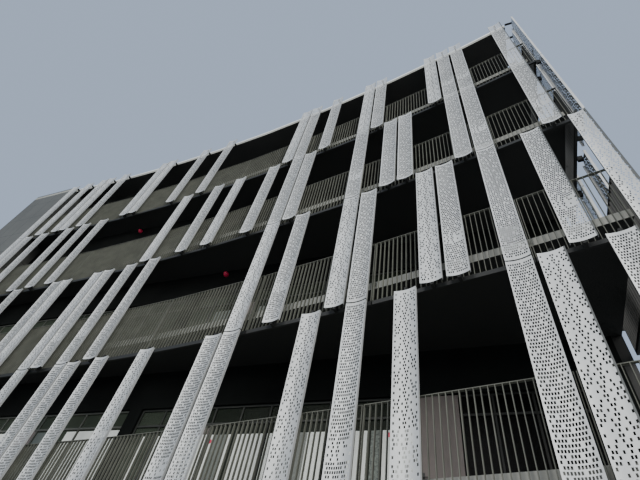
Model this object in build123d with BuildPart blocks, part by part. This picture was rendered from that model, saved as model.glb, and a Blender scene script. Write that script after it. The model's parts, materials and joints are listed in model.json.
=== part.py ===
"""School building: a straight body of five storeys behind a gently curved front of balconies.

The front faces -Y. The walls of the body run along X and Y. The balcony slabs, the balustrades and
the louvre panels follow a large circle, built as straight facets. A place on the front is given by
its station, measured to the right along the line of the louvre panels from the point where that
line runs parallel to the walls, and by its setback behind that line. Lengths are in millimetres.
"""

import os
from math import asin, cos, degrees, floor, sin

from build123d import *

# Plan of the body
LENGTH = 25760.0
DEPTH = 14000.0
CORE_WIDTH = 3000.0
WALL_THICKNESS = 200.0
BALCONY_NECK = 860.0

# Curved front
FRONT_RADIUS = 94000.0
MODULE = 500.0
FACET_MODULES = 6
CURVE_LEAD = 2620.0
SLAB_EDGE_SETBACK = 280.0
CORE_SETBACK = 100.0

# Heights
GROUND_SLAB_HEIGHT = 150.0
GROUND_STOREY = 4250.0
STOREY = 4000.0
SLAB_THICKNESS = 200.0
COPING_HEIGHT = 100.0
COPING_WIDTH = 300.0

# Balustrades, which hang in front of the slab edges
RAIL_HEIGHT = 1140.0
BAR_DROP = 740.0
BAR_SETBACK = 165.0
BAR_DEPTH = 50.0
BAR_WIDTH = 12.0
RAIL_THICKNESS = 12.0
CHANNEL_HEIGHT = 100.0
UNIT_GAP = 20.0
STANDOFF_HEIGHT = 100.0
SIDE_START = 280.0
END_CLEARANCE = 60.0

# Louvre panels
PANEL_WIDTH = 420.0
CORNER_PANEL_WIDTH = 350.0
PANEL_SHEET = 4.0
PANEL_TROUGH = 40.0
PANEL_FLAT = 140.0
PANEL_RETURN = 60.0
PANEL_DROP = 690.0
PANEL_SEAM = 50.0
TOP_PANEL_BELOW_ROOF = 150.0
LUG_WIDTH = 60.0
LUG_REACH = 80.0
TOP_LUG_COVER = 10.0
# Modules that carry a panel on the front, counted from the core
FRONT_PANELS = {
    1: (),
    2: (2, 5, 8, 11, 15, 18, 19, 21, 24, 28, 29, 33, 35, 37, 41, 42, 44),
    3: (1, 3, 7, 11, 12, 15, 16, 18, 20, 29, 31, 34, 35, 38, 39, 41, 43),
    4: (0, 1, 3, 6, 8, 10, 19, 22, 24, 27, 29, 30, 34, 36, 37, 40, 41, 44),
    5: (0, 2, 4, 5, 7, 12, 13, 17, 20, 28, 29, 31, 34, 35, 39, 40, 41, 44),
    6: (),
}
CORNER_PANEL_STOREY = 3
CORNER_MODULE = 45
# Modules that carry a panel on the open right end, counted from the corner
SIDE_PANELS = {1: (), 2: (1, 3, 4), 3: (2, 4), 4: (0, 1, 4), 5: (0, 1, 3, 5), 6: ()}

# Windows and doors
FRONT_BAYS = 4
PANES_PER_BAY = 7
PIER_WIDTH = 390.0
DOOR_PANE = 2
WINDOW_HEAD = 2700.0
TRANSOM_HEIGHT = 2250.0
FRAME_WIDTH = 50.0
FRAME_DEPTH = 80.0
GLASS_THICKNESS = 12.0
DOOR_THICKNESS = 45.0
BACK_BAYS = 4
BACK_WINDOW_WIDTH = 3600.0
BACK_WINDOW_HEIGHT = 1800.0
BACK_WINDOW_SILL = 900.0

# Lamps on the inner wall: storey and distance from the middle of the body
LAMPS = ((4, -3640.0), (3, 2210.0))
LAMP_SIZE = 180.0
LAMP_HEIGHT = 3600.0

# Derived values
HALF_LENGTH = LENGTH / 2
FRONT_LINE = -DEPTH / 2
BACK_FACE = DEPTH / 2
REAR_INSIDE = BACK_FACE - WALL_THICKNESS
CORE_EDGE = CORE_WIDTH - HALF_LENGTH
FACET = FACET_MODULES * MODULE
FACET_ANGLE = FACET / FRONT_RADIUS
FACET_RADIUS = FRONT_RADIUS * cos(FACET_ANGLE / 2)
CURVE_START = -CURVE_LEAD
CENTRE_X = CORE_EDGE + FRONT_RADIUS * sin(CURVE_LEAD / FRONT_RADIUS)
CORNER_STATION = FRONT_RADIUS * asin((HALF_LENGTH - CENTRE_X) / FRONT_RADIUS)
FACETS = floor((CORNER_STATION - CURVE_START) / FACET) + 1
CENTRE_Y = FRONT_LINE - FRONT_RADIUS * cos(CORNER_STATION / FRONT_RADIUS)
NECK_LINE = CENTRE_Y + FRONT_RADIUS
CORE_FACE = NECK_LINE + CORE_SETBACK
WALL_FACE = NECK_LINE + SLAB_EDGE_SETBACK + BALCONY_NECK
WALL_BACK = WALL_FACE + WALL_THICKNESS
END_FACE = HALF_LENGTH - SLAB_EDGE_SETBACK
END_INSIDE = END_FACE - WALL_THICKNESS
FLOORS = [GROUND_SLAB_HEIGHT] + [GROUND_STOREY + STOREY * level for level in range(5)]
ROOF_LEVEL = FLOORS[5]
FOOT = (Align.CENTER, Align.CENTER, Align.MIN)

os.makedirs("parts", exist_ok=True)


def save(part: Part, name: str) -> None:
    """Label a finished piece and write it."""
    part.label = name
    export_step(part, f"parts/{name}.step")


def facet_angle(station: float) -> float:
    """Angle at which the facet of a station stands, turned clockwise."""
    return (CURVE_START + (floor((station - CURVE_START) / FACET) + 0.5) * FACET) / FRONT_RADIUS


def front_point(setback: float, station: float) -> tuple[float, float]:
    """Plan position of a setback and a station on the faceted front."""
    angle = station / FRONT_RADIUS
    radius = (FACET_RADIUS + setback) / cos(angle - facet_angle(station))
    return (CENTRE_X + radius * sin(angle), CENTRE_Y + radius * cos(angle))


def front_place(setback: float, station: float, height: float) -> Location:
    """Frame on the front: X runs to the right along the facet, Y runs into the building."""
    x, y = front_point(setback, station)
    return Location((x, y, height), (0, 0, -degrees(facet_angle(station))))


def side_place(setback: float, distance: float, height: float) -> Location:
    """Frame on the open right end: X runs back from the corner, Y runs into the building."""
    return Location((HALF_LENGTH - setback, FRONT_LINE + distance, height), (0, 0, 90))


def front_crossing(setback: float, along: float, station: float) -> tuple[float, float]:
    """Plan position where the facet of a station, at a setback, crosses a line along Y."""
    angle = facet_angle(station)
    return (along, CENTRE_Y + (FACET_RADIUS + setback - (along - CENTRE_X) * sin(angle)) / cos(angle))


def front_edge(setback: float, end: float) -> list[tuple[float, float]]:
    """Plan points of the faceted front at a setback, from the core to a place along X."""
    start_point = front_crossing(setback, CORE_EDGE, CURVE_START + FACET / 2)
    corners = [front_point(setback, CURVE_START + FACET * facet) for facet in range(1, FACETS)]
    return [start_point, *corners, front_crossing(setback, end, CURVE_START + FACET * (FACETS - 0.5))]


def outline(points: list[tuple[float, float]], level: float) -> Sketch:
    """Closed plan outline at a level."""
    with BuildSketch(Plane.XY.offset(level)) as plan:
        with BuildLine():
            Polyline(*points, close=True)
        make_face()
    return plan.sketch


def wall_box(left: float, right: float, front: float, back: float, foot: float, top: float) -> None:
    """Upright wall between two places along X, two along Y and two heights."""
    with Locations(((left + right) / 2, (front + back) / 2, foot)):
        Box(right - left, back - front, top - foot, align=FOOT)


def balustrade_unit(length: float, arms: tuple[int, ...]) -> None:
    """Channel, rail and three posts of one balustrade unit, with arms that reach the slab edge."""
    height = RAIL_HEIGHT + BAR_DROP
    gap = (length - BAR_WIDTH * 3) / 2
    Box(length, BAR_DEPTH, height, align=FOOT)
    with Locations((-(gap + BAR_WIDTH) / 2, 0, CHANNEL_HEIGHT), ((gap + BAR_WIDTH) / 2, 0, CHANNEL_HEIGHT)):
        Box(gap, BAR_DEPTH * 3, height - CHANNEL_HEIGHT - RAIL_THICKNESS, align=FOOT, mode=Mode.SUBTRACT)
    reach = SLAB_EDGE_SETBACK - BAR_SETBACK - BAR_DEPTH
    foot = BAR_DROP - (SLAB_THICKNESS + STANDOFF_HEIGHT) / 2
    for arm in arms:
        with Locations((arm * (gap + BAR_WIDTH), (BAR_DEPTH + reach) / 2, foot)):
            Box(BAR_WIDTH, reach, STANDOFF_HEIGHT, align=FOOT)


def panel_profile(width: float) -> Sketch:
    """Section of a louvre panel: a shallow folded trough, open to the front, with side returns."""
    half = width / 2
    inner = half - PANEL_SHEET
    flat = PANEL_FLAT / 2
    with BuildSketch() as section:
        with BuildLine():
            Polyline(
                (-half, 0),
                (-flat, PANEL_TROUGH),
                (flat, PANEL_TROUGH),
                (half, 0),
                (half, PANEL_RETURN),
                (inner, PANEL_RETURN),
                (inner, PANEL_SHEET),
                (flat, PANEL_TROUGH + PANEL_SHEET),
                (-flat, PANEL_TROUGH + PANEL_SHEET),
                (-inner, PANEL_SHEET),
                (-inner, PANEL_RETURN),
                (-half, PANEL_RETURN),
                close=True,
            )
        make_face()
    return section.sketch


def panel_station(module: int) -> float:
    """Station of the middle of a panel on the front."""
    return CURVE_START + (module + 0.5) * MODULE


def corner_panel_station() -> float:
    """Station of the middle of the narrow panel at the right corner."""
    edge_gap = (MODULE - PANEL_WIDTH) / 2
    return CURVE_START + CORNER_MODULE * MODULE + edge_gap + CORNER_PANEL_WIDTH / 2


# Floors and roof
with BuildPart() as ground_slab:
    ground_outline = [
        (-HALF_LENGTH, CORE_FACE),
        (CORE_EDGE, CORE_FACE),
        (CORE_EDGE, WALL_FACE),
        (END_FACE, WALL_FACE),
        (END_FACE, BACK_FACE),
        (-HALF_LENGTH, BACK_FACE),
    ]
    extrude(outline(ground_outline, 0), amount=GROUND_SLAB_HEIGHT)
save(ground_slab.part, "ground_slab")

slab_edge = front_edge(SLAB_EDGE_SETBACK, END_FACE)
slab_outline = slab_edge + [
    (END_FACE, WALL_FACE),
    (END_INSIDE, WALL_FACE),
    (END_INSIDE, REAR_INSIDE),
    (WALL_THICKNESS - HALF_LENGTH, REAR_INSIDE),
    (WALL_THICKNESS - HALF_LENGTH, CORE_FACE + WALL_THICKNESS),
    (CORE_EDGE - WALL_THICKNESS, CORE_FACE + WALL_THICKNESS),
    (CORE_EDGE - WALL_THICKNESS, WALL_BACK),
    (CORE_EDGE, WALL_BACK),
]
for storey in range(2, 6):
    with BuildPart() as floor_slab:
        extrude(outline(slab_outline, FLOORS[storey - 1] - SLAB_THICKNESS), amount=SLAB_THICKNESS)
    save(floor_slab.part, f"floor_slab_{storey}")

roof_outline = slab_edge + [
    (END_FACE, BACK_FACE),
    (-HALF_LENGTH, BACK_FACE),
    (-HALF_LENGTH, CORE_FACE),
    (CORE_EDGE, CORE_FACE),
]
with BuildPart() as roof_slab:
    extrude(outline(roof_outline, ROOF_LEVEL - SLAB_THICKNESS), amount=SLAB_THICKNESS)
save(roof_slab.part, "roof_slab")

hole_outline = front_edge(SLAB_EDGE_SETBACK + COPING_WIDTH, END_FACE - COPING_WIDTH) + [
    (END_FACE - COPING_WIDTH, BACK_FACE - COPING_WIDTH),
    (COPING_WIDTH - HALF_LENGTH, BACK_FACE - COPING_WIDTH),
    (COPING_WIDTH - HALF_LENGTH, CORE_FACE + COPING_WIDTH),
    (CORE_EDGE, CORE_FACE + COPING_WIDTH),
]
with BuildPart() as roof_coping:
    extrude(outline(roof_outline, ROOF_LEVEL), amount=COPING_HEIGHT)
    extrude(outline(hole_outline, ROOF_LEVEL), amount=COPING_HEIGHT, mode=Mode.SUBTRACT)
save(roof_coping.part, "roof_coping")

# Inner wall behind the balconies, with its windows and doors
bay_length = (END_INSIDE - CORE_EDGE) / FRONT_BAYS
opening_width = bay_length - PIER_WIDTH
pane_width = opening_width / PANES_PER_BAY
bay_middles = [CORE_EDGE + bay_length * (bay + 0.5) for bay in range(FRONT_BAYS)]
wall_middle = (WALL_FACE + WALL_BACK) / 2
light_width = opening_width - FRAME_WIDTH * 2
lower_height = TRANSOM_HEIGHT - FRAME_WIDTH * 1.5
upper_foot = TRANSOM_HEIGHT + FRAME_WIDTH / 2
upper_height = WINDOW_HEAD - FRAME_WIDTH - upper_foot
door_offset = (DOOR_PANE + 0.5) * pane_width - opening_width / 2
door_width = pane_width - FRAME_WIDTH

for storey in range(1, 6):
    level = FLOORS[storey - 1]
    ceiling = FLOORS[storey] - SLAB_THICKNESS
    bays = [(middle, wall_middle, level) for middle in bay_middles]
    with BuildPart() as front_wall:
        wall_box(CORE_EDGE, END_INSIDE, WALL_FACE, WALL_BACK, level, ceiling)
        with Locations(*bays):
            Box(opening_width, WALL_THICKNESS * 3, WINDOW_HEAD, align=FOOT, mode=Mode.SUBTRACT)
    save(front_wall.part, f"front_wall_{storey}")

    with BuildPart() as front_frames:
        with Locations(*bays):
            Box(opening_width, FRAME_DEPTH, WINDOW_HEAD, align=FOOT)
            with Locations((0, 0, FRAME_WIDTH)):
                Box(light_width, FRAME_DEPTH * 3, lower_height, align=FOOT, mode=Mode.SUBTRACT)
            with Locations((0, 0, upper_foot)):
                Box(light_width, FRAME_DEPTH * 3, upper_height, align=FOOT, mode=Mode.SUBTRACT)
    save(front_frames.part, f"front_window_frames_{storey}")

    with BuildPart() as front_glass:
        with Locations(*bays):
            with Locations((0, 0, FRAME_WIDTH)):
                Box(light_width, GLASS_THICKNESS, lower_height, align=FOOT)
            with Locations((door_offset, 0, FRAME_WIDTH)):
                Box(door_width, GLASS_THICKNESS * 3, lower_height, align=FOOT, mode=Mode.SUBTRACT)
            with Locations((0, 0, upper_foot)):
                Box(light_width, GLASS_THICKNESS, upper_height, align=FOOT)
    save(front_glass.part, f"front_glass_{storey}")

door_places = [(middle + door_offset, wall_middle, level) for middle in bay_middles for level in FLOORS[:5]]
with BuildPart() as balcony_doors:
    with Locations(*door_places):
        with Locations((0, 0, FRAME_WIDTH)):
            Box(door_width, DOOR_THICKNESS, lower_height, align=FOOT)
save(balcony_doors.part, "balcony_doors")

with BuildPart() as wall_lamps:
    for storey, along in LAMPS:
        with Locations((along, WALL_FACE - LAMP_SIZE / 2, FLOORS[storey - 1] + LAMP_HEIGHT)):
            Box(LAMP_SIZE, LAMP_SIZE, LAMP_SIZE)
save(wall_lamps.part, "wall_lamps")

# Back wall and its windows
wall_foot = GROUND_SLAB_HEIGHT
wall_top = ROOF_LEVEL - SLAB_THICKNESS
back_bay = (END_FACE + HALF_LENGTH) / BACK_BAYS
back_wall_middle = BACK_FACE - WALL_THICKNESS / 2
back_places = [
    (back_bay * (bay + 0.5) - HALF_LENGTH, back_wall_middle, level + BACK_WINDOW_SILL)
    for level in FLOORS[:5]
    for bay in range(BACK_BAYS)
]
back_light_height = BACK_WINDOW_HEIGHT - FRAME_WIDTH * 2
with BuildPart() as back_wall:
    wall_box(-HALF_LENGTH, END_FACE, REAR_INSIDE, BACK_FACE, wall_foot, wall_top)
    with Locations(*back_places):
        Box(BACK_WINDOW_WIDTH, WALL_THICKNESS * 3, BACK_WINDOW_HEIGHT, align=FOOT, mode=Mode.SUBTRACT)
save(back_wall.part, "back_wall")

with BuildPart() as back_window_frames:
    with Locations(*back_places):
        Box(BACK_WINDOW_WIDTH, FRAME_DEPTH, BACK_WINDOW_HEIGHT, align=FOOT)
        with Locations((0, 0, FRAME_WIDTH)):
            Box(
                BACK_WINDOW_WIDTH - FRAME_WIDTH * 2,
                FRAME_DEPTH * 3,
                back_light_height,
                align=FOOT,
                mode=Mode.SUBTRACT,
            )
save(back_window_frames.part, "back_window_frames")

with BuildPart() as back_glass:
    with Locations(*back_places):
        with Locations((0, 0, FRAME_WIDTH)):
            Box(BACK_WINDOW_WIDTH - FRAME_WIDTH * 2, GLASS_THICKNESS, back_light_height, align=FOOT)
save(back_glass.part, "back_glass")

# End walls and the closed core
with BuildPart() as right_end_wall:
    wall_box(END_INSIDE, END_FACE, WALL_FACE, REAR_INSIDE, wall_foot, wall_top)
save(right_end_wall.part, "right_end_wall")

with BuildPart() as left_end_wall:
    wall_box(-HALF_LENGTH, WALL_THICKNESS - HALF_LENGTH, CORE_FACE, REAR_INSIDE, wall_foot, wall_top)
save(left_end_wall.part, "left_end_wall")

with BuildPart() as core_front_wall:
    core_left = WALL_THICKNESS - HALF_LENGTH
    wall_box(core_left, CORE_EDGE, CORE_FACE, CORE_FACE + WALL_THICKNESS, wall_foot, wall_top)
save(core_front_wall.part, "core_front_wall")

with BuildPart() as core_side_wall:
    core_inside = CORE_EDGE - WALL_THICKNESS
    wall_box(core_inside, CORE_EDGE, CORE_FACE + WALL_THICKNESS, WALL_BACK, wall_foot, wall_top)
save(core_side_wall.part, "core_side_wall")

# Balustrades
unit_length = FACET - UNIT_GAP
bar_middle = BAR_SETBACK + BAR_DEPTH / 2
unit_stations = [CURVE_START + FACET * (facet + 0.5) for facet in range(FACETS)]
side_length = WALL_FACE - END_CLEARANCE - FRONT_LINE - SIDE_START
for storey in range(2, 6):
    channel_foot = FLOORS[storey - 1] - BAR_DROP
    with BuildPart() as balustrade:
        with Locations(*[front_place(bar_middle, station, channel_foot) for station in unit_stations]):
            balustrade_unit(unit_length, (-1, 1))
        split(bisect_by=Plane.YZ.offset(HALF_LENGTH - BAR_SETBACK), keep=Keep.BOTTOM)
        with Locations(side_place(bar_middle, SIDE_START + side_length / 2, channel_foot)):
            balustrade_unit(side_length, (0, 1))
    save(balustrade.part, f"balustrade_{storey}")

# Louvre panels and the lugs that carry them
trough_back = PANEL_TROUGH + PANEL_SHEET
for storey in range(2, 7):
    line = FLOORS[storey - 1] - BAR_DROP
    back = BAR_SETBACK
    foot_below = line - LUG_REACH
    top_above = line + PANEL_SEAM + LUG_REACH
    if storey == 6:
        foot_below = ROOF_LEVEL - TOP_PANEL_BELOW_ROOF - LUG_REACH
        line = ROOF_LEVEL - TOP_PANEL_BELOW_ROOF - TOP_LUG_COVER - CHANNEL_HEIGHT
        back = SLAB_EDGE_SETBACK
    lug_middle = (trough_back + back) / 2
    front_below = set(FRONT_PANELS[storey - 1])
    side_below = set(SIDE_PANELS[storey - 1])
    with BuildPart() as panel_lugs:
        for module in sorted(front_below | set(FRONT_PANELS[storey])):
            foot = foot_below if module in front_below else line
            top = top_above if module in FRONT_PANELS[storey] else line + CHANNEL_HEIGHT
            with Locations(front_place(lug_middle, panel_station(module), foot)):
                Box(LUG_WIDTH, back - trough_back, top - foot, align=FOOT)
        for module in sorted(side_below | set(SIDE_PANELS[storey])):
            foot = foot_below if module in side_below else line
            top = top_above if module in SIDE_PANELS[storey] else line + CHANNEL_HEIGHT
            with Locations(side_place(lug_middle, (module + 0.5) * MODULE, foot)):
                Box(LUG_WIDTH, back - trough_back, top - foot, align=FOOT)
        if storey in (CORNER_PANEL_STOREY, CORNER_PANEL_STOREY + 1):
            with Locations(front_place(lug_middle, corner_panel_station(), line - LUG_REACH)):
                Box(LUG_WIDTH, back - trough_back, PANEL_SEAM + LUG_REACH * 2, align=FOOT)
    save(panel_lugs.part, f"panel_lugs_{storey}")

for storey in range(2, 6):
    foot = FLOORS[storey - 1] - PANEL_DROP
    top = FLOORS[storey] - PANEL_DROP - PANEL_SEAM
    if storey == 5:
        top = ROOF_LEVEL - TOP_PANEL_BELOW_ROOF
    front_places = [front_place(0, panel_station(module), foot) for module in FRONT_PANELS[storey]]
    side_places = [side_place(0, (module + 0.5) * MODULE, foot) for module in SIDE_PANELS[storey]]
    with BuildPart() as louvre_panels:
        with Locations(*front_places, *side_places):
            add(extrude(panel_profile(PANEL_WIDTH), amount=top - foot, mode=Mode.PRIVATE))
        if storey == CORNER_PANEL_STOREY:
            with Locations(front_place(0, corner_panel_station(), foot)):
                add(extrude(panel_profile(CORNER_PANEL_WIDTH), amount=top - foot, mode=Mode.PRIVATE))
    save(louvre_panels.part, f"louvre_panels_{storey}")
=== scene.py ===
"""Looks of the school building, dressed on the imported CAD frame.

Everything is in metres, in the frame of the CAD part: the front faces -Y, X runs to the right
along the front and Z runs up from the ground. The CAD nodes keep their shapes and get better
materials. The louvre panels are modelled again with curved troughs and punched holes, and the lamps
with round lenses. Balustrade bars, mullions, films, marks, door handles, the tall leaf and the bars
of the back windows, which the CAD part leaves out, are added here.
"""

from __future__ import annotations

import json
import logging
import math
import random
from dataclasses import dataclass, field, replace
from enum import Enum

import bpy
from mathutils import Matrix, Vector

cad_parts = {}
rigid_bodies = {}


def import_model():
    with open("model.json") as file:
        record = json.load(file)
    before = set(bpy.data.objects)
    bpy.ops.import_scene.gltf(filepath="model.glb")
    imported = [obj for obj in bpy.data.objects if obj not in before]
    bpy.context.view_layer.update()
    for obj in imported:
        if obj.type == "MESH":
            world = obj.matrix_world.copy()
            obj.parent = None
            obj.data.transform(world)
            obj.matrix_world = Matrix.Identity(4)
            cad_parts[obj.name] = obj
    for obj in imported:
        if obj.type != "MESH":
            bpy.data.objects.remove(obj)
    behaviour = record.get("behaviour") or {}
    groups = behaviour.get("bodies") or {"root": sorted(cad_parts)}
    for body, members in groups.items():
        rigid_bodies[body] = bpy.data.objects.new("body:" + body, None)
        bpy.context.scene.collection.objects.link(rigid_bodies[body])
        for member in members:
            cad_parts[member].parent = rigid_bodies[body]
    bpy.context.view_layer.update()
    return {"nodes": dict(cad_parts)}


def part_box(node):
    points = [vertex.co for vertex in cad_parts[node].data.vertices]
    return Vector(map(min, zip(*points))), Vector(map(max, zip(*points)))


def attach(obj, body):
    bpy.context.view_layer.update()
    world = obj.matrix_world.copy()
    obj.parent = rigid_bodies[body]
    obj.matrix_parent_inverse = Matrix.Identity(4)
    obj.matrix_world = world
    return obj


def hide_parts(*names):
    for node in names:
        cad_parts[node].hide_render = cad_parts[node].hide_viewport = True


LOG = logging.getLogger("school_building")

Point = tuple[float, float, float]
Color = tuple[float, float, float]
Piece = bpy.types.Object
Tree = bpy.types.NodeTree
Socket = bpy.types.NodeSocket

# Tops of the ground slab, the four floor slabs and the roof slab
FLOORS = (0.15, 4.25, 8.25, 12.25, 16.25, 20.25)
STOREY_PITCH = 4.0
STOREYS = range(1, 6)
BALCONY_STOREYS = range(2, 6)

# Places nearer than this are the same place
NEAR = 1e-4

FULL_ROWS = (
    "ooo.oooooo",
    "o.oooooo.oo",
    "oo.ooo.ooo",
    "ooooooooo.o",
    "ooooooo.oo",
    "oooo.oooooo",
    "o.oooooooo",
    "oooooo.oooo",
)
PAIRED_ROWS = ("oo.o.o.o..", "o.o..oo...o") * 2 + ("..o.o.o.oo", "o...oo..o.o") * 2
THIN_ROWS = (
    ".o..o.....",
    "o.o.o..o..o",
    ".o.oo.....",
    "o.o.o..oo.o",
    ".o.oo.o...",
    "ooo.oooooo.",
)


class Punching(Enum):
    """Rows of holes that repeat down a louvre panel, where each o is a hole.

    Rows of ten holes and rows of eleven take turns, and stand half a pitch aside from each other.
    """

    DENSE = FULL_ROWS
    PAIRED = PAIRED_ROWS
    BANDED = FULL_ROWS + FULL_ROWS[:6] + THIN_ROWS + FULL_ROWS * 5


class Kind(Enum):
    """Kind of mesh element that a selection holds, as Blender's select mode gives it."""

    EDGES = (False, True, False)
    FACES = (False, False, True)


class Axis(Enum):
    """Axis of the building's frame."""

    X = 0
    Y = 1
    Z = 2


def deselect_all() -> None:
    """Deselect every object."""
    for item in bpy.context.view_layer.objects:
        item.select_set(False)


def make_active(item: Piece) -> None:
    """Select one object alone and make it active.

    Args:
        item: The object.
    """
    deselect_all()
    item.select_set(True)
    bpy.context.view_layer.objects.active = item


def enter_edit_mode(item: Piece, kind: Kind) -> None:
    """Enter edit mode on one object, with its own selection kept.

    Args:
        item: The object.
        kind: The kind of element that the selection holds.
    """
    bpy.context.tool_settings.mesh_select_mode = kind.value
    make_active(item)
    bpy.ops.object.mode_set(mode="EDIT")


def select_faces(item: Piece, chosen: list[int]) -> None:
    """Select faces of a mesh by number, with nothing else selected.

    Args:
        item: The mesh object, in object mode.
        chosen: The numbers of the faces.
    """
    wanted = set(chosen)
    mesh = item.data
    for vertex in mesh.vertices:
        vertex.select = False
    for edge in mesh.edges:
        edge.select = False
    for face in mesh.polygons:
        face.select = face.index in wanted


def bevel_edges(item: Piece, width: float, segments: int = 1) -> None:
    """Bevel all edges of a mesh and apply the modifier.

    Args:
        item: The object.
        width: Width of the bevel.
        segments: Number of steps across the bevel.
    """
    make_active(item)
    bevel = item.modifiers.new("edge", "BEVEL")
    bevel.width = width
    bevel.segments = segments
    bpy.ops.object.modifier_apply(modifier=bevel.name)


def box_between(name: str, low: Point, high: Point, edge: float = 0.0) -> Piece:
    """Add a box between two corners, with its place in its mesh.

    Args:
        name: Name of the new object.
        low: The lowest corner.
        high: The highest corner.
        edge: Width of the bevel on its edges, or nought for none.

    Returns:
        The new object.
    """
    deselect_all()
    bpy.ops.mesh.primitive_cube_add(size=1)
    item = bpy.context.active_object
    item.name = name
    size = Matrix.Diagonal((high[0] - low[0], high[1] - low[1], high[2] - low[2], 1))
    middle = Matrix.Translation([(a + b) / 2 for a, b in zip(low, high)])
    item.data.transform(middle @ size)
    if edge:
        bevel_edges(item, edge)
    return item


def cylinder_along(
    axis: Axis, name: str, sides: int, radius: float, length: float, middle: Point = (0.0, 0.0, 0.0)
) -> Piece:
    """Add a cylinder that lies along X or Y, with its place in its mesh.

    Args:
        axis: The axis that it lies along, X or Y.
        name: Name of the new object.
        sides: Number of its flat sides.
        radius: Its radius.
        length: Its length.
        middle: Its middle.

    Returns:
        The new object.
    """
    deselect_all()
    bpy.ops.mesh.primitive_cylinder_add(vertices=sides, radius=radius, depth=length)
    item = bpy.context.active_object
    item.name = name
    turn = Matrix.Rotation(math.pi / 2, 4, "X" if axis is Axis.Y else "Y")
    item.data.transform(Matrix.Translation(middle) @ turn)
    return item


def copy_at(master: Piece, places: list[Matrix]) -> list[Piece]:
    """Put copies in the place of a master piece, each with its own mesh.

    Args:
        master: The piece that is modelled once, which is removed.
        places: Where the copies go.

    Returns:
        The copies.
    """
    copies = []
    for place in places:
        copy = bpy.data.objects.new(master.name, master.data.copy())
        copy.data.transform(place)
        bpy.context.collection.objects.link(copy)
        copies.append(copy)
    bpy.data.objects.remove(master, do_unlink=True)
    return copies


def joined(name: str, parts: list[Piece]) -> Piece:
    """Join pieces into one object.

    Args:
        name: Name of the joined object.
        parts: The pieces.

    Returns:
        The joined object.
    """
    deselect_all()
    for part in parts:
        part.select_set(True)
    bpy.context.view_layer.objects.active = parts[0]
    if len(parts) > 1:
        bpy.ops.object.join()
    result = bpy.context.view_layer.objects.active
    result.name = name
    result.data.name = name
    return result


def smooth_by_angle(item: Piece, degrees: float) -> None:
    """Shade an object smooth, apart from its edges that are sharper than an angle."""
    make_active(item)
    bpy.ops.object.shade_smooth_by_angle(angle=math.radians(degrees))


@dataclass(frozen=True)
class Zone:
    """Part of a surface with another colour, told by its place or by where it faces; most zones paint
    shade, and two paint light.
    """

    axis: Axis
    low: float
    high: float
    color: Color
    by_facing: bool = False
    wrap: float = 0.0


def turned_against(axis: Axis, color: Color) -> Zone:
    """Zone of the faces that point against an axis, up to 60 degrees aside."""
    return Zone(axis, -2.0, -0.5, color, by_facing=True)


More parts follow.
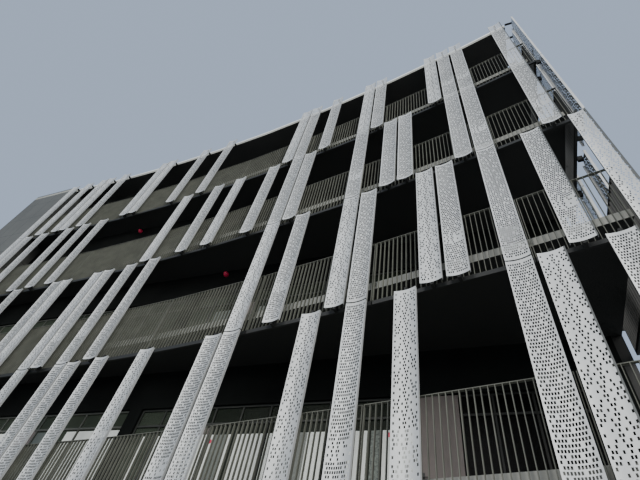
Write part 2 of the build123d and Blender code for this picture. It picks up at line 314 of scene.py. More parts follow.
@dataclass(frozen=True)
class Finish:
    """One finish of the building, as a procedural material."""

    name: str
    color: Color
    roughness: float
    metallic: float = 0.0
    specular: float = 0.5
    alpha: float = 1.0
    patch_scale: float = 1.5
    patch_strength: float = 0.1
    patch_detail: float = 5.0
    patch_range: tuple[float, float] = (0.3, 0.7)
    streak_strength: float = 0.0
    streak_stretch: Point = (14.0, 14.0, 0.5)
    streak_gain: float = 4.0
    streak_shade: float = 0.45
    joint_pitch: tuple[float, float] | None = None
    joint_offset: tuple[float, float] = (0.0, 0.0)
    joint_width: float = 0.025
    joint_shade: float = 0.35
    grain_scale: float = 60.0
    grain_depth: float = 0.05
    grain_height: float = 0.01
    fine_detail: float = 3.0
    zones: tuple[Zone, ...] = ()

    def _shade(self, share: float) -> Color:
        """The finish's colour at a share of its brightness."""
        return tuple(min(1.0, part * share) for part in self.color)

    def _value(self, tree: Tree, operation: str, *inputs: object) -> Socket:
        """Add a Math node.

        Args:
            tree: The node tree.
            operation: The Math operation.
            inputs: Sockets or numbers, in order.

        Returns:
            The node's output.
        """
        node = tree.nodes.new("ShaderNodeMath")
        node.operation = operation
        for index, given in enumerate(inputs):
            if isinstance(given, Socket):
                tree.links.new(given, node.inputs[index])
            else:
                node.inputs[index].default_value = given
        return node.outputs[0]

    def _noise(self, tree: Tree, position: Socket, scale: float, detail: float) -> Socket:
        """Add a Noise Texture node.

        Args:
            tree: The node tree.
            position: Where the noise is read.
            scale: Its scale.
            detail: How many finer layers it has.

        Returns:
            The node's output.
        """
        node = tree.nodes.new("ShaderNodeTexNoise")
        node.inputs["Scale"].default_value = scale
        node.inputs["Detail"].default_value = detail
        tree.links.new(position, node.inputs["Vector"])
        return node.outputs["Fac"]

    def _mix(self, tree: Tree, factor: Socket, first: Socket, color: Color) -> Socket:
        """Mix a colour over another by a factor.

        Args:
            tree: The node tree.
            factor: Where the new colour shows.
            first: The colour below.
            color: The new colour.

        Returns:
            The mixed colour.
        """
        mix = tree.nodes.new("ShaderNodeMix")
        mix.data_type = "RGBA"
        tree.links.new(factor, mix.inputs[0])
        tree.links.new(first, mix.inputs[6])
        mix.inputs[7].default_value = (*color, 1)
        return mix.outputs[2]

    def _streaks(self, tree: Tree, position: Socket) -> Socket:
        """Mask of the upright streaks of dirt.

        Args:
            tree: The node tree.
            position: Object coordinates.

        Returns:
            How strong the streaks are, up to one.
        """
        stretch = tree.nodes.new("ShaderNodeMapping")
        stretch.inputs["Scale"].default_value = self.streak_stretch
        tree.links.new(position, stretch.inputs["Vector"])
        streak = self._noise(tree, stretch.outputs[0], 1.0, self.fine_detail)
        above = self._value(tree, "SUBTRACT", streak, 0.5)
        amount = self._value(tree, "MULTIPLY", above, self.streak_strength * self.streak_gain)
        return self._value(tree, "MINIMUM", self._value(tree, "MAXIMUM", amount, 0.0), 1.0)

    def _joints(self, tree: Tree, position: Socket) -> Socket:
        """Mask of the joints between cladding sheets.

        Args:
            tree: The node tree.
            position: Object coordinates.

        Returns:
            One in a joint and nought elsewhere.
        """
        split = tree.nodes.new("ShaderNodeSeparateXYZ")
        tree.links.new(position, split.inputs[0])
        sideways = self._value(tree, "ADD", split.outputs[0], split.outputs[1])
        masks = []
        for socket, pitch, offset in zip((sideways, split.outputs[2]), self.joint_pitch, self.joint_offset):
            shifted = self._value(tree, "SUBTRACT", socket, offset)
            wrapped = self._value(tree, "FLOORED_MODULO", shifted, pitch)
            masks.append(self._value(tree, "LESS_THAN", wrapped, self.joint_width))
        return self._value(tree, "MAXIMUM", *masks)

    def _zone_mask(self, tree: Tree, zone: Zone) -> Socket:
        """Mask of a zone.

        Args:
            tree: The node tree.
            zone: The zone.

        Returns:
            One in the zone and nought elsewhere.
        """
        source = tree.nodes.new("ShaderNodeTexCoord").outputs["Normal" if zone.by_facing else "Object"]
        split = tree.nodes.new("ShaderNodeSeparateXYZ")
        tree.links.new(source, split.inputs[0])
        value = split.outputs[zone.axis.value]
        if zone.wrap:
            value = self._value(tree, "FLOORED_MODULO", value, zone.wrap)
        above = self._value(tree, "GREATER_THAN", value, zone.low)
        below = self._value(tree, "LESS_THAN", value, zone.high)
        return self._value(tree, "MULTIPLY", above, below)

    def material(self) -> bpy.types.Material:
        """Build the material.

        Returns:
            The material, made once and found again by its name.
        """
        label = f"{self.name}_finish"
        if label in bpy.data.materials:
            return bpy.data.materials[label]
        result = bpy.data.materials.new(label)
        result.use_nodes = True
        tree = result.node_tree
        position = tree.nodes.new("ShaderNodeTexCoord").outputs["Object"]
        ramp = tree.nodes.new("ShaderNodeValToRGB")
        dark, light = ramp.color_ramp.elements
        dark.position, light.position = self.patch_range
        dark.color = (*self._shade(1 - self.patch_strength), 1)
        light.color = (*self._shade(1 + self.patch_strength), 1)
        patch = self._noise(tree, position, self.patch_scale, self.patch_detail)
        tree.links.new(patch, ramp.inputs[0])
        color = ramp.outputs[0]

        if self.streak_strength:
            color = self._mix(tree, self._streaks(tree, position), color, self._shade(self.streak_shade))
        if self.joint_pitch:
            color = self._mix(tree, self._joints(tree, position), color, self._shade(self.joint_shade))
        for zone in self.zones:
            color = self._mix(tree, self._zone_mask(tree, zone), color, zone.color)

        bump = tree.nodes.new("ShaderNodeBump")
        bump.inputs["Strength"].default_value = self.grain_depth
        bump.inputs["Distance"].default_value = self.grain_height
        grain = self._noise(tree, position, self.grain_scale, self.fine_detail)
        tree.links.new(grain, bump.inputs["Height"])

        shader = tree.nodes["Principled BSDF"]
        shader.inputs["Roughness"].default_value = self.roughness
        shader.inputs["Metallic"].default_value = self.metallic
        shader.inputs["Specular IOR Level"].default_value = self.specular
        shader.inputs["Alpha"].default_value = self.alpha
        tree.links.new(color, shader.inputs["Base Color"])
        tree.links.new(bump.outputs[0], shader.inputs["Normal"])
        return result


# The panels' left flanks are in shade
PERFORATED = Finish(
    "perforated_aluminium",
    (0.47, 0.485, 0.48),
    roughness=0.45,
    metallic=0.3,
    patch_scale=0.9,
    streak_strength=0.1,
    grain_scale=220.0,
    zones=(turned_against(Axis.X, (0.1, 0.105, 0.1)),),
)

# The right end's balustrades get painted shade, nearly black, and so does a painted shadow band on all
# channels below the slab edges
END_SHADE = Zone(Axis.X, 12.63, 13.0, (0.016, 0.017, 0.015))
DARK_STEEL = Finish(
    "dark_steel",
    (0.096, 0.1, 0.082),
    roughness=0.55,
    specular=0.3,
    patch_scale=3.0,
    patch_strength=0.18,
    grain_scale=120.0,
    grain_depth=0.1,
    zones=(END_SHADE,),
)
CHANNEL_STEEL = replace(
    DARK_STEEL,
    name="balustrade_steel",
    # Painted shadow band on the channels, once in each storey
    zones=(END_SHADE, Zone(Axis.Z, 3.49, 3.62, (0.012, 0.013, 0.012), wrap=STOREY_PITCH)),
)
LUG_STEEL = replace(
    DARK_STEEL,
    name="lug_steel",
    color=(0.016, 0.017, 0.016),
    roughness=0.7,
    specular=0.2,
    zones=(),
)

# The undersides of the balconies get painted shade, nearly black
CONCRETE = Finish(
    "concrete",
    (0.26, 0.265, 0.24),
    roughness=0.8,
    patch_scale=0.8,
    patch_strength=0.16,
    streak_strength=0.3,
    grain_scale=35.0,
    grain_depth=0.25,
    zones=(turned_against(Axis.Z, (0.01, 0.011, 0.01)),),
)
# The front wall is dark grey, deepened to near black by painted shade
DARK_WALL = Finish(
    "dark_wall",
    (0.005, 0.006, 0.0055),
    roughness=0.9,
    specular=0.1,
    patch_scale=1.2,
    patch_strength=0.2,
    grain_scale=30.0,
    grain_depth=0.2,
)
CLADDING = Finish(
    "grey_cladding",
    (0.08, 0.083, 0.075),
    roughness=0.6,
    metallic=0.1,
    patch_scale=0.7,
    patch_strength=0.12,
    streak_strength=0.2,
    joint_pitch=(1.0, 1.47),
    joint_offset=(-0.88, 0.15),
    grain_scale=90.0,
    grain_depth=0.12,
)

# The front edge of the right end wall stands in the shade of the balconies
END_CLADDING = replace(
    CLADDING,
    name="end_cladding",
    zones=(turned_against(Axis.Y, (0.006, 0.007, 0.006)),),
)

# The coping over the closed core is as grey as the cladding below it
COPING = Finish(
    "white_coping",
    (0.66, 0.69, 0.67),
    roughness=0.45,
    metallic=0.1,
    patch_scale=1.0,
    patch_strength=0.06,
    streak_strength=0.15,
    grain_scale=120.0,
    zones=(Zone(Axis.X, -20.0, -9.8, (0.085, 0.09, 0.085)),),
)
FRAMES = Finish(
    "grey_aluminium",
    (0.04, 0.043, 0.041),
    roughness=0.5,
    metallic=0.1,
    specular=0.25,
    patch_scale=2.0,
    patch_strength=0.12,
    grain_scale=150.0,
)
GLASS = Finish(
    "window_glass",
    (0.01, 0.015, 0.012),
    roughness=0.3,
    specular=0.22,
    alpha=0.86,
    grain_scale=5.0,
    grain_depth=0.0,
)

# The windows of the front get painted light in the left bays and painted shade, nearly black, in the right
# one
FRONT_FRAMES = replace(
    FRAMES,
    name="front_frames",
    color=(0.028, 0.031, 0.027),
    zones=(
        Zone(Axis.X, -13.0, 1.2, (0.085, 0.09, 0.078)),
        Zone(Axis.X, 8.3, 13.0, (0.007, 0.008, 0.007)),
    ),
)
FRONT_GLASS = replace(
    GLASS,
    name="front_glass",
    color=(0.012, 0.017, 0.011),
    specular=0.06,
    zones=(
        Zone(Axis.X, -13.0, 2.6, (0.042, 0.052, 0.038)),
        Zone(Axis.X, 8.3, 13.0, (0.001, 0.001, 0.001)),
    ),
)
DOOR = Finish(
    "pale_door",
    (0.12, 0.1, 0.09),
    roughness=0.55,
    patch_scale=1.2,
    streak_strength=0.25,
    grain_depth=0.1,
)
WHITE_FILM = Finish(
    "white_film",
    (0.74, 0.77, 0.72),
    roughness=0.5,
    patch_strength=0.05,
    grain_scale=80.0,
)
FROSTED_FILM = replace(
    WHITE_FILM,
    name="frosted_film",
    color=(0.09, 0.105, 0.09),
    roughness=0.4,
    patch_strength=0.15,
)
PATTERNED_FILM = replace(
    WHITE_FILM,
    name="patterned_film",
    color=(0.13, 0.15, 0.13),
    roughness=0.6,
    patch_scale=22.0,
    patch_strength=0.7,
    grain_depth=0.2,
)
RED_LENS = Finish(
    "red_lamp",
    (0.62, 0.012, 0.07),
    roughness=0.3,
    patch_scale=6.0,
    grain_scale=200.0,
)
FLOOR = Finish(
    "studio_floor",
    (0.42, 0.42, 0.41),
    roughness=0.9,
    patch_scale=0.05,
    patch_strength=0.02,
    grain_scale=4.0,
    grain_depth=0.02,
)


class Film(Enum):
    """What covers a stretch of a window pane, as its finish."""

    WHITE = WHITE_FILM
    FROSTED = FROSTED_FILM
    PATTERNED = PATTERNED_FILM


def dress(item: Piece, finish: Finish) -> None:
    """Give a new piece its body, finish and material slot.

    Args:
        item: The piece.
        finish: Its finish.
    """
    item.data.materials.clear()
    item.data.materials.append(finish.material())
    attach(item, "root")
    LOG.info("piece %s: %d faces, %s", item.name, len(item.data.polygons), finish.name)


@dataclass
class CurvedFront:
    """The faceted line of the louvre panels, from which setbacks are measured."""

    radius: float = 94.0
    module: float = 0.5
    facet_modules: int = 6
    lead: float = 2.62
    half_length: float = 12.88
    core_width: float = 3.0
    front_line: float = -7.0

    @property
    def facet(self) -> float:
        """Length of a facet."""
        return self.module * self.facet_modules

    @property
    def centre_x(self) -> float:
        """Place of the circle's centre along X."""
        return self.core_width - self.half_length + self.radius * math.sin(self.lead / self.radius)

    @property
    def corner_station(self) -> float:
        """Station of the right corner."""
        return self.radius * math.asin((self.half_length - self.centre_x) / self.radius)

    @property
    def centre_y(self) -> float:
        """Place of the circle's centre along Y."""
        return self.front_line - self.radius * math.cos(self.corner_station / self.radius)

    @property
    def facets(self) -> int:
        """Number of facets."""
        return math.floor((self.corner_station + self.lead) / self.facet) + 1

    def facet_angle(self, station: float) -> float:
        """Angle of the facet of a station, turned clockwise."""
        index = math.floor((station + self.lead) / self.facet)
        return (-self.lead + (index + 0.5) * self.facet) / self.radius

    def place(self, setback: float, station: float, height: float) -> Matrix:
        """Frame on the front: X runs to the right, Y runs into the building.

        Args:
            setback: Distance behind the line of the panels.
            station: Distance to the right along that line.
            height: Height above the ground.

        Returns:
            The matrix of the frame.
        """
        turn = self.facet_angle(station)
        angle = station / self.radius
        inner = self.radius * math.cos(self.facet / 2 / self.radius)
        reach = (inner + setback) / math.cos(angle - turn)
        spot = (self.centre_x + reach * math.sin(angle), self.centre_y + reach * math.cos(angle), height)
        return Matrix.Translation(spot) @ Matrix.Rotation(-turn, 4, "Z")

    def side_place(self, setback: float, distance: float, height: float) -> Matrix:
        """Frame on the open right end: X runs back from the corner, Y runs into the building.

        Args:
            setback: Distance inside the line of the side panels.
            distance: Distance behind the corner.
            height: Height above the ground.

        Returns:
            The matrix of the frame.
        """
        spot = (self.half_length - setback, self.front_line + distance, height)
        return Matrix.Translation(spot) @ Matrix.Rotation(math.pi / 2, 4, "Z")


@dataclass
class LouvrePanels:
    """Perforated trough panels in front of the balconies."""

    front: CurvedFront
    width: float = 0.42
    corner_width: float = 0.35
    trough: float = 0.038
    lip_return: float = 0.056
    flange: float = 0.014
    side_margin: float = 0.02625
    end_margin: float = 0.055
    half_pitch: float = 0.0175
    hole_widening: float = 0.0026
    hole_height: float = 0.04
    row_pitch: float = 0.06
    drop: float = 0.69
    seam: float = 0.03
    below_roof: float = 0.15
    corner_storey: int = 3
    corner_module: int = 45
    seed: int = 40
    smooth_angle: float = 35.0
    front_modules: dict[int, tuple[int, ...]] = field(
        default_factory=lambda: {
            2: (2, 5, 8, 11, 15, 18, 19, 21, 24, 28, 29, 33, 35, 37, 41, 42, 44),
            3: (1, 3, 7, 11, 12, 15, 16, 18, 20, 29, 31, 34, 35, 38, 39, 41, 43),
            4: (0, 1, 3, 6, 8, 10, 19, 22, 24, 27, 29, 30, 34, 36, 37, 40, 41, 44),
            5: (0, 2, 4, 5, 7, 12, 13, 17, 20, 28, 29, 31, 34, 35, 39, 40, 41, 44),
        }
    )
    side_modules: dict[int, tuple[int, ...]] = field(
        default_factory=lambda: {2: (1, 3, 4), 3: (2, 4), 4: (0, 1, 4), 5: (0, 1, 3, 5)}
    )
    seen: dict[Punching, tuple[tuple[int, int], ...]] = field(
        default_factory=lambda: {
            Punching.DENSE: ((2, 29), (2, 41), (3, 35), (3, 41)),
            Punching.PAIRED: ((2, 24), (2, 33), (2, 37), (2, 42), (3, 34), (3, 38)),
            Punching.BANDED: ((2, 28), (2, 35), (2, 44), (3, 39), (3, 43)),
        }
    )

    def _column_edges(self, width: float) -> list[float]:
        """Find the grid lines across a panel, where each column is half a pitch wide.

        Args:
            width: Width of the panel.

        Returns:
            Their places along X.
        """
        columns = round((width - 2 * self.side_margin) / self.half_pitch)
        first = -columns * self.half_pitch / 2
        inner = [first + self.half_pitch * index for index in range(columns + 1)]
        return [-width / 2, *inner, width / 2]

    def _row_edges(self, height: float) -> list[float]:
        """Find the grid lines up a panel, where rows of holes and solid rows take turns.

        Args:
            height: Height of the panel.

        Returns:
            Their places along Z.
        """
        rows = math.floor((height - 2 * self.end_margin) / self.row_pitch)
        first = (height - rows * self.row_pitch + self.row_pitch - self.hole_height) / 2
        edges = [0.0]
        for row in range(rows):
            edges += [first + self.row_pitch * row, first + self.row_pitch * row + self.hole_height]
        return [*edges, height]

    def _punched(self, column: int, row: int, pattern: Punching) -> bool:
        """Tell whether a cell of the grid is a hole.

        Args:
            column: The cell's number across, without the side margin.
            row: The cell's number up, with the foot margin as row nought.
            pattern: The rows of holes.

        Returns:
            True for a hole.
        """
        if row % 2 == 0 or column < 0:
            return False
        holes = pattern.value[(row // 2) % len(pattern.value)]
        place, rest = divmod(column - self._aside(row // 2), 2)
        return rest == 0 and 0 <= place < len(holes) and holes[place] == "o"

    def _aside(self, hole_row: int) -> int:
        """Columns that a row of holes starts from the margin: rows of ten stand one column in."""
        return 1 if hole_row % 2 == 0 else 0

    def _moved_aside(self, column: int, row: int, columns: int) -> float:
        """Tell how far a grid corner moves across, so that each hole is wider than its column.

        Args:
            column: The corner's number across.
            row: The corner's number up.
            columns: Number of columns.

        Returns:
            The move to the right.
        """
        if row == 0 or column in (0, columns):
            return 0.0
        starts_hole = (column - 1 - self._aside((row - 1) // 2)) % 2 == 0
        return -self.hole_widening if starts_hole else self.hole_widening

    def _master(self, width: float, height: float, pattern: Punching) -> Piece:
        """Model one panel at the origin, with its lips on Y = 0 and its foot on Z = 0.

        Args:
            width: Width from lip to lip.
            height: Height.
            pattern: The rows of holes.

        Returns:
            The panel.
        """
        across = self._column_edges(width)
        up = self._row_edges(height)
        columns = len(across) - 1
        rows = len(up) - 1
        deselect_all()
        bpy.ops.mesh.primitive_grid_add(x_subdivisions=columns, y_subdivisions=rows, size=2)
        item = bpy.context.active_object
        item.name = f"panel_{pattern.name.lower()}"
        holes = []
        for face in item.data.polygons:
            column = math.floor((face.center.x + 1) / 2 * columns)
            row = math.floor((face.center.y + 1) / 2 * rows)
            if 0 < column < columns - 1 and row < rows - 1 and self._punched(column - 1, row, pattern):
                holes.append(face.index)
        for vertex in item.data.vertices:
            column = round((vertex.co.x + 1) / 2 * columns)
            row = round((vertex.co.y + 1) / 2 * rows)
            vertex.co = Vector((across[column] + self._moved_aside(column, row, columns), 0.0, up[row]))
        select_faces(item, holes)
        enter_edit_mode(item, Kind.FACES)
        bpy.ops.mesh.delete(type="FACE")
        bpy.ops.object.mode_set(mode="OBJECT")
        half = width / 2
        self._fold(item, half, 0.0, Vector((0, self.lip_return, 0)))
        for side in (-1, 1):
            self._fold(item, side * half, self.lip_return, Vector((-side * self.flange, 0, 0)))
        for vertex in item.data.vertices:
            if abs(vertex.co.y) < NEAR:
                vertex.co.y = self.trough * (1 - (vertex.co.x / half) ** 2)
        return item

    def _fold(self, item: Piece, along: float, depth: float, step: Vector) -> None:
        """Extrude the upright edges at a place, as the fold of a sheet.

        Args:
            item: The panel.
            along: Place of the edges along X. At depth nought it stands for both sides.
            depth: Place of the edges along Y.
            step: The fold's run.
        """
        select_faces(item, [])
        for edge in item.data.edges:
            ends = [item.data.vertices[index] for index in edge.vertices]
            at_side = all(abs(end.co.x - along) < NEAR for end in ends)
            if depth == 0:
                at_side = all(abs(abs(end.co.x) - along) < NEAR for end in ends)
            if at_side and all(abs(end.co.y - depth) < NEAR for end in ends):
                edge.select = True
                for end in ends:
                    end.select = True
        enter_edit_mode(item, Kind.EDGES)
        bpy.ops.mesh.extrude_region_move(TRANSFORM_OT_translate={"value": step})
        bpy.ops.object.mode_set(mode="OBJECT")

    def build(self, storey: int) -> None:
        """Build the panels of one storey as one piece.

        Args:
            storey: The storey.
        """
        foot = FLOORS[storey - 1] - self.drop
        top = FLOORS[storey] - self.drop - self.seam
        if storey == STOREYS[-1]:
            top = FLOORS[storey] - self.below_roof
        height = top - foot
        chance = random.Random(self.seed + storey)
        places: dict[Punching, list[Matrix]] = {}
        for module in self.front_modules[storey]:
            known = [kind for kind, spots in self.seen.items() if (storey, module) in spots]
            pattern = known[0] if known else chance.choice(list(Punching))
            station = -self.front.lead + (module + 0.5) * self.front.module
            places.setdefault(pattern, []).append(self.front.place(0.0, station, foot))
        for module in self.side_modules[storey]:
            spot = self.front.side_place(0.0, (module + 0.5) * self.front.module, foot)
            places.setdefault(chance.choice(list(Punching)), []).append(spot)
        parts = []
        for pattern, spots in places.items():
            parts += copy_at(self._master(self.width, height, pattern), spots)
        if storey == self.corner_storey:
            gap = (self.front.module - self.width) / 2
            station = -self.front.lead + self.corner_module * self.front.module
            station += gap + self.corner_width / 2
            narrow = self._master(self.corner_width, height, Punching.PAIRED)
            parts += copy_at(narrow, [self.front.place(0.0, station, foot)])
        sheets = joined(f"louvre_sheets_{storey}", parts)
        smooth_by_angle(sheets, self.smooth_angle)
        dress(sheets, PERFORATED)
        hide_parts(f"louvre_panels_{storey}")


@dataclass
class BalustradeBars:
    """Flat bars that fill the balustrades between the CAD posts."""

    front: CurvedFront
    setback: float = 0.165
    depth: float = 0.049
    width: float = 0.011
    edge: float = 0.0015
    drop: float = 0.64
    rail_under: float = 1.128
    unit_gap: float = 0.02
    posts: int = 3
    post_depth: float = 0.05
    bars_between_posts: int = 14
    side_start: float = 0.28
    side_end_clearance: float = 0.06

    def _bar(self) -> Piece:
        """Model one bar at the origin, with its foot on Z = 0 and its hidden ends left open.

        Returns:
            The bar.
        """
        half = self.width / 2
        deep = self.depth / 2
        bar = box_between("bar", (-half, -deep, 0.0), (half, deep, self.drop + self.rail_under))
        select_faces(bar, [face.index for face in bar.data.polygons if abs(face.normal.z) > 0.5])
        enter_edit_mode(bar, Kind.FACES)
        bpy.ops.mesh.delete(type="ONLY_FACE")
        bpy.ops.object.mode_set(mode="OBJECT")
        bevel_edges(bar, self.edge)
        return bar

    def _offsets(self, length: float) -> list[float]:
        """Find the places of the bars along a unit with a post at each end and in the middle.

        Args:
            length: Length of the unit.

        Returns:
            Their distances from its middle.
        """
        gap = (length - self.width * self.posts) / (self.posts - 1)
        pitch = (gap + self.width) / (self.bars_between_posts + 1)
        steps = range(1, self.bars_between_posts + 1)
        return [sign * pitch * step for step in steps for sign in (-1, 1)]

    def build(self, storey: int, wall_face: float) -> None:
        """Build the bars of one storey as one piece.

        Args:
            storey: The storey.
            wall_face: Place of the inner wall's face along Y.
        """
        foot = FLOORS[storey - 1] - self.drop
        middle = self.setback + self.post_depth / 2
        limit = self.front.half_length - self.setback - self.width
        places = []
        for facet in range(self.front.facets):
            station = -self.front.lead + self.front.facet * (facet + 0.5)
            unit = self.front.place(middle, station, foot)
            for offset in self._offsets(self.front.facet - self.unit_gap):
                place = unit @ Matrix.Translation((offset, 0, 0))
                if place.translation.x < limit:
                    places.append(place)
        side_length = wall_face - self.side_end_clearance - self.front.front_line - self.side_start
        unit = self.front.side_place(middle, self.side_start + side_length / 2, foot)
        places += [unit @ Matrix.Translation((offset, 0, 0)) for offset in self._offsets(side_length)]
        dress(joined(f"balustrade_bars_{storey}", copy_at(self._bar(), places)), DARK_STEEL)


@dataclass
class DoorHandle:
    """Lever handle on its plate, measured from the floor and from the middle plane of the door."""

    plate_width: float = 0.04
    plate_front: float = 0.034
    plate_back: float = 0.0215
    plate_foot: float = 0.92
    plate_head: float = 1.14
    plate_edge: float = 0.004
    height: float = 1.05
    sides: int = 12
    lever_radius: float = 0.009
    lever_length: float = 0.13
    lever_middle: float = 0.055
    lever_front: float = 0.062
    lever_edge: float = 0.003
    neck_radius: float = 0.011
    neck_length: float = 0.036
    neck_front: float = 0.048

    def model(self) -> Piece:
        """Model one handle, to be copied to the doors.

        Returns:
            The handle.
        """
        half = self.plate_width / 2
        low = (-half, -self.plate_front, self.plate_foot)
        plate = box_between("plate", low, (half, -self.plate_back, self.plate_head), self.plate_edge)
        spot = (self.lever_middle, -self.lever_front, self.height)
        lever = cylinder_along(Axis.X, "lever", self.sides, self.lever_radius, self.lever_length, spot)
        bevel_edges(lever, self.lever_edge)
        spot = (0.0, -self.neck_front, self.height)
        neck = cylinder_along(Axis.Y, "neck", self.sides, self.neck_radius, self.neck_length, spot)
        return joined("handle", [plate, lever, neck])


@dataclass
class BalconyWindows:
    """Mullions, films, red marks, door handles and the tall leaf of the inner wall's windows."""

    wall_middle: float
    bay_length: float = 5.57
    bays: int = 4
    panes: int = 7
    pane: float = 0.74
    left: float = -9.88
    head: float = 2.7
    frame_depth: float = 0.08
    mullion: float = 0.042
    mullion_depth: float = 0.07
    mullion_foot: float = 0.03
    mullion_edge: float = 0.003
    door_pane: int = 2
    door_film_bay: int = 2
    door_film_front: float = 0.026
    door_film_inset: float = 0.03
    film_storeys: int = 2
    film_foot: float = 0.055
    film_front: float = 0.0095
    film_thickness: float = 0.004
    film_edge: float = 0.001
    film_tops: tuple[float, ...] = (2.19, 2.19, 2.0, 2.0)
    tall_leaf_width: float = 0.82
    tall_leaf_thickness: float = 0.016
    tall_leaf_foot: float = 0.012
    tall_leaf_below_head: float = 0.02
    tall_leaf_edge: float = 0.003
    handle_inset: float = 0.09
    tall_handle_front: float = 0.034
    mark_size: float = 0.1
    mark_thickness: float = 0.006
    mark_sides: int = 24
    mark_edge: float = 0.0015
    marks: tuple[tuple[float, float], ...] = ((3.775, 1.84), (7.93, 1.9))
    films: dict[Film, dict[int, tuple[tuple[float, float], ...]]] = field(
        default_factory=lambda: {
            Film.WHITE: {
                0: ((0.77, 1.44), (2.26, 2.93)),
                1: ((0.06, 0.71), (0.77, 1.2), (3.32, 3.66), (3.74, 4.41), (4.47, 5.12)),
                2: (
                    (0.33, 0.42), (0.65, 0.71), (0.77, 0.88), (2.24, 2.39),
                    (2.72, 2.86), (2.99, 3.66), (3.74, 3.9), (4.7, 5.12),
                ),
                3: ((0.06, 0.45), (0.77, 1.44)),
            },
            Film.FROSTED: {
                0: ((0.06, 0.71), (3.74, 4.41)),
                1: ((2.26, 2.7),),
                2: ((0.88, 1.44), (2.39, 2.72), (3.9, 4.41), (4.47, 4.7)),
            },
            Film.PATTERNED: {3: ((0.53, 0.71),)},
        }
    )

    def _opening(self, bay: int) -> float:
        """Left end of the opening of a bay."""
        return self.left + self.bay_length * (bay + 0.5) - self.pane * self.panes / 2

    def _door(self, bay: int) -> float:
        """Left end of the door of a bay."""
        return self._opening(bay) + self.pane * self.door_pane

    def build_mullions(self, storey: int) -> None:
        """Build the upright mullions of one storey as one piece.

        Args:
            storey: The storey.
        """
        level = FLOORS[storey - 1]
        half = self.mullion / 2
        deep = self.mullion_depth / 2
        foot = self.mullion_foot
        high = (half, deep, self.head - foot)
        master = box_between("mullion", (-half, -deep, foot), high, self.mullion_edge)
        places = [
            Matrix.Translation((self._opening(bay) + self.pane * index, self.wall_middle, level))
            for bay in range(self.bays)
            for index in range(1, self.panes)
        ]
        mullions = joined(f"mullions_{storey}", copy_at(master, places))
        dress(mullions, FRONT_FRAMES)

    def build_films(self, storey: int, film: Film) -> None:
        """Build the films of one kind on the panes and the door of one storey as one piece.

        Args:
            storey: The storey.
            film: The kind of film.
        """
        level = FLOORS[storey - 1]
        back = self.wall_middle - self.film_front + self.film_thickness
        parts = []
        for bay, spans in self.films[film].items():
            left = self._opening(bay)
            for start, end in spans:
                low = (left + start, back - self.film_thickness, level + self.film_foot)
                high = (left + end, back, level + self.film_tops[bay])
                parts.append(box_between("film", low, high, self.film_edge))
        if film is Film.WHITE:
            left = self._door(self.door_film_bay) + self.door_film_inset
            right = self._door(self.door_film_bay) + self.pane - self.door_film_inset
            front = self.wall_middle - self.door_film_front
            high = (right, front + self.film_thickness, level + self.film_tops[-1])
            parts.append(box_between("film", (left, front, level + self.film_foot), high, self.film_edge))
        dress(joined(f"{film.value.name}_{storey}", parts), film.value)

    def build_tall_leaf(self) -> None:
        """Build the sliding leaf that stands in front of the last door of the second storey."""
        left = self._door(self.bays - 1)
        back = self.wall_middle - self.frame_depth / 2
        top = FLOORS[1] + self.head - self.tall_leaf_below_head
        low = (left, back - self.tall_leaf_thickness, FLOORS[1] + self.tall_leaf_foot)
        high = (left + self.tall_leaf_width, back, top)
        leaf = box_between("tall_leaf", low, high, self.tall_leaf_edge)
        dress(leaf, DOOR)

    def build_marks(self) -> None:
        """Build the small red marks on the panes of the second storey as one piece."""
        radius = self.mark_size / 2
        master = cylinder_along(Axis.Y, "mark", self.mark_sides, radius, self.mark_thickness)
        bevel_edges(master, self.mark_edge)
        front = self.wall_middle - self.film_front - self.mark_thickness / 2
        places = [Matrix.Translation((along, front, FLOORS[1] + height)) for along, height in self.marks]
        dress(joined("window_marks", copy_at(master, places)), RED_LENS)

    def build_handles(self) -> None:
        """Build the lever handles of all the balcony doors as one piece."""
        places = []
        for level in FLOORS[:-1]:
            for bay in range(self.bays):
                front = self.wall_middle
                if level == FLOORS[1] and bay == self.bays - 1:
                    front -= self.tall_handle_front
                places.append(Matrix.Translation((self._door(bay) + self.handle_inset, front, level)))
        dress(joined("door_handles", copy_at(DoorHandle().model(), places)), FRAMES)


@dataclass
class BackWindows:
    """Mullions and a rail in each back window."""

    bays: int = 4
    width: float = 3.6
    height: float = 1.8
    sill: float = 0.9
    left: float = -12.88
    right: float = 12.6
    wall_middle: float = 6.9
    bar: float = 0.04
    depth: float = 0.07
    edge: float = 0.003
    inset: float = 0.03
    panes: int = 4
    rail_height: float = 1.2
    rail_share: float = 0.8

    def build(self) -> None:
        """Build the bars of all the back windows as one piece."""
        half = self.bar / 2
        deep = self.depth / 2
        high = (half, deep, self.height - self.inset)
        upright = box_between("upright", (-half, -deep, self.inset), high, self.edge)
        reach = self.width / 2 - self.inset
        deep *= self.rail_share
        low = (-reach, -deep, self.rail_height - half)
        rail = box_between("rail", low, (reach, deep, self.rail_height + half), self.edge)
        pitch = (self.right - self.left) / self.bays
        steps = [self.width * (step / self.panes - 0.5) for step in range(1, self.panes)]
        uprights = copy_at(upright, [Matrix.Translation((step, 0, 0)) for step in steps])
        window = joined("window", [rail, *uprights])
        places = [
            Matrix.Translation((self.left + pitch * (bay + 0.5), self.wall_middle, level + self.sill))
            for level in FLOORS[:-1]
            for bay in range(self.bays)
        ]
        dress(joined("back_window_bars", copy_at(window, places)), FRAMES)


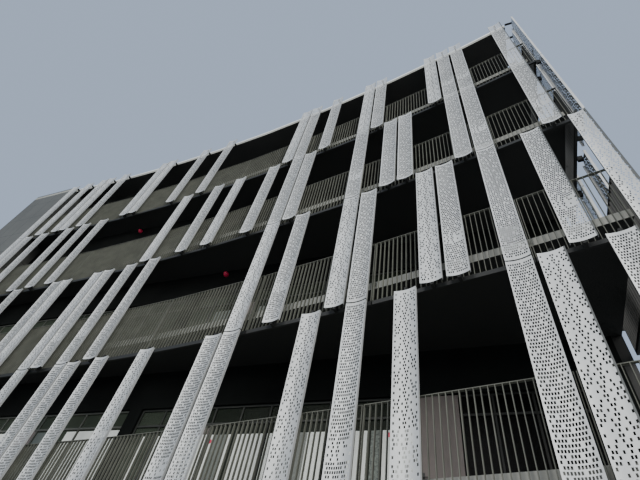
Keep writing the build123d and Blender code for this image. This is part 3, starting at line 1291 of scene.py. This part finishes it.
@dataclass
class WallLamps:
    """Round lamps with red lenses on the inner wall."""

    places: tuple[tuple[int, float], ...] = ((4, -3.64), (3, 2.21))
    height: float = 3.6
    size: float = 0.18
    lens_stretch: float = 1.4
    ring_sides: int = 32
    ring_depth: float = 0.03
    ring_edge: float = 0.004
    smooth_angle: float = 40.0

    def build(self, wall_face: float) -> None:
        """Build the lamps as one piece.

        Args:
            wall_face: Place of the inner wall's face along Y.
        """
        radius = self.size / 2
        deselect_all()
        bpy.ops.mesh.primitive_uv_sphere_add(segments=24, ring_count=12, radius=radius)
        lens = bpy.context.active_object
        lens.name = "lens"
        lens.data.transform(Matrix.Diagonal((1, self.lens_stretch, 1, 1)))
        enter_edit_mode(lens, Kind.FACES)
        bpy.ops.mesh.select_all(action="SELECT")
        bpy.ops.mesh.bisect(plane_co=(0, 0, 0), plane_no=(0, 1, 0), clear_outer=True, use_fill=True)
        bpy.ops.object.mode_set(mode="OBJECT")
        lens.data.transform(Matrix.Translation((0, -self.ring_depth, 0)))
        middle = (0.0, -self.ring_depth / 2, 0.0)
        ring = cylinder_along(Axis.Y, "ring", self.ring_sides, radius, self.ring_depth, middle)
        bevel_edges(ring, self.ring_edge, 2)
        master = joined("lamp", [lens, ring])
        spots = [
            Matrix.Translation((along, wall_face, FLOORS[storey - 1] + self.height))
            for storey, along in self.places
        ]
        lamps = joined("red_lamps", copy_at(master, spots))
        smooth_by_angle(lamps, self.smooth_angle)
        dress(lamps, RED_LENS)
        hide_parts("wall_lamps")


@dataclass
class CadFinishes:
    """Finishes of the CAD nodes that keep their shapes."""

    kinds: tuple[tuple[Finish, tuple[str, ...]], ...] = (
        (CHANNEL_STEEL, ("balustrade",)),
        (LUG_STEEL, ("panel_lugs",)),
        (PERFORATED, ("louvre_panels",)),
        (CONCRETE, ("floor_slab", "roof_slab", "ground_slab")),
        (COPING, ("roof_coping",)),
        (DARK_WALL, ("front_wall",)),
        (FRONT_FRAMES, ("front_window_frames",)),
        (FRAMES, ("back_window_frames",)),
        (FRONT_GLASS, ("front_glass",)),
        (GLASS, ("back_glass",)),
        (DOOR, ("balcony_doors",)),
        (RED_LENS, ("wall_lamps",)),
        (END_CLADDING, ("right_end_wall",)),
        (CLADDING, ("back_wall", "left_end_wall", "core_front_wall", "core_side_wall")),
    )

    def apply(self, nodes: dict[str, Piece]) -> None:
        """Give each node the finish of its kind.

        Args:
            nodes: The CAD nodes by name.
        """
        for name, item in nodes.items():
            finish = next(kind for kind, starts in self.kinds if name.startswith(starts))
            material = finish.material()
            if not item.material_slots:
                item.data.materials.append(material)
            for slot in item.material_slots:
                slot.link = "OBJECT"
                slot.material = material


@dataclass
class Studio:
    """Floor, lights and the camera at the photograph's viewing angle."""

    focal: float = 24.78
    position: Point = (9.99934, -11.94745, 1.60598)
    forward: Point = (-0.310999, 0.560133, 0.767809)
    up: Point = (0.160431, -0.765338, 0.623313)
    floor_size: float = 240.0
    floor_drop: float = 0.005
    sky: Color = (0.5, 0.61, 0.8)
    sky_strength: float = 0.8
    light: Color = (1.0, 0.96, 0.9)
    light_size: float = 26.0
    light_aim: Point = (0.0, 0.0, 10.0)
    areas: tuple[tuple[str, Point, float], ...] = (
        ("key", (-6.0, -44.0, 26.0), 12500.0),
        ("fill", (34.0, -30.0, 24.0), 16500.0),
        ("rear", (-20.0, 42.0, 26.0), 17000.0),
    )

    def camera(self) -> None:
        """Add the camera and make it the scene's."""
        data = bpy.data.cameras.new("camera")
        data.lens = self.focal
        data.sensor_width = 36.0
        data.clip_start = 0.05
        data.clip_end = 500.0
        item = bpy.data.objects.new("camera", data)
        bpy.context.collection.objects.link(item)
        back = -Vector(self.forward).normalized()
        right = Vector(self.up).cross(back).normalized()
        above = back.cross(right)
        turn = Matrix((right, above, back)).transposed().to_4x4()
        item.matrix_world = Matrix.Translation(self.position) @ turn
        bpy.context.scene.camera = item

    def floor(self) -> None:
        """Add the pale floor under the building."""
        deselect_all()
        bpy.ops.mesh.primitive_plane_add(size=self.floor_size)
        item = bpy.context.active_object
        item.name = "studio_floor"
        item.data.transform(Matrix.Translation((0, 0, -self.floor_drop)))
        item.data.materials.append(FLOOR.material())

    def lights(self) -> None:
        """Add the sky and the soft area lights, which look at the middle of the building."""
        world = bpy.data.worlds.new("studio")
        world.use_nodes = True
        background = world.node_tree.nodes["Background"]
        background.inputs["Color"].default_value = (*self.sky, 1)
        background.inputs["Strength"].default_value = self.sky_strength
        bpy.context.scene.world = world
        for name, place, power in self.areas:
            data = bpy.data.lights.new(name, "AREA")
            data.shape = "SQUARE"
            data.size = self.light_size
            data.energy = power
            data.color = self.light
            item = bpy.data.objects.new(name, data)
            bpy.context.collection.objects.link(item)
            turn = (Vector(self.light_aim) - Vector(place)).to_track_quat("-Z", "Y")
            item.matrix_world = Matrix.Translation(place) @ turn.to_matrix().to_4x4()


def node_box(name: str) -> tuple[Vector, Vector]:
    """Lowest and highest corner of a CAD node."""
    low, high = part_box(name)
    return Vector(low), Vector(high)


def main() -> None:
    """Load the frame, dress it and add the pieces in order."""
    logging.basicConfig(level=logging.INFO, format="%(message)s")
    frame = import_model()
    studio = Studio()
    studio.camera()
    studio.floor()
    studio.lights()
    CadFinishes().apply(frame["nodes"])

    wall_low, wall_high = node_box("front_wall_2")
    wall_face = wall_low.y
    wall_middle = (wall_low.y + wall_high.y) / 2
    front = CurvedFront()
    panels = LouvrePanels(front)
    bars = BalustradeBars(front)
    windows = BalconyWindows(wall_middle)
    for storey in BALCONY_STOREYS:
        panels.build(storey)
        bars.build(storey, wall_face)
    for storey in STOREYS:
        windows.build_mullions(storey)
        for film in Film:
            if film is Film.FROSTED or storey <= windows.film_storeys:
                windows.build_films(storey, film)
    windows.build_tall_leaf()
    windows.build_marks()
    windows.build_handles()
    BackWindows().build()
    WallLamps().build(wall_face)


if __name__ == "__main__":
    main()
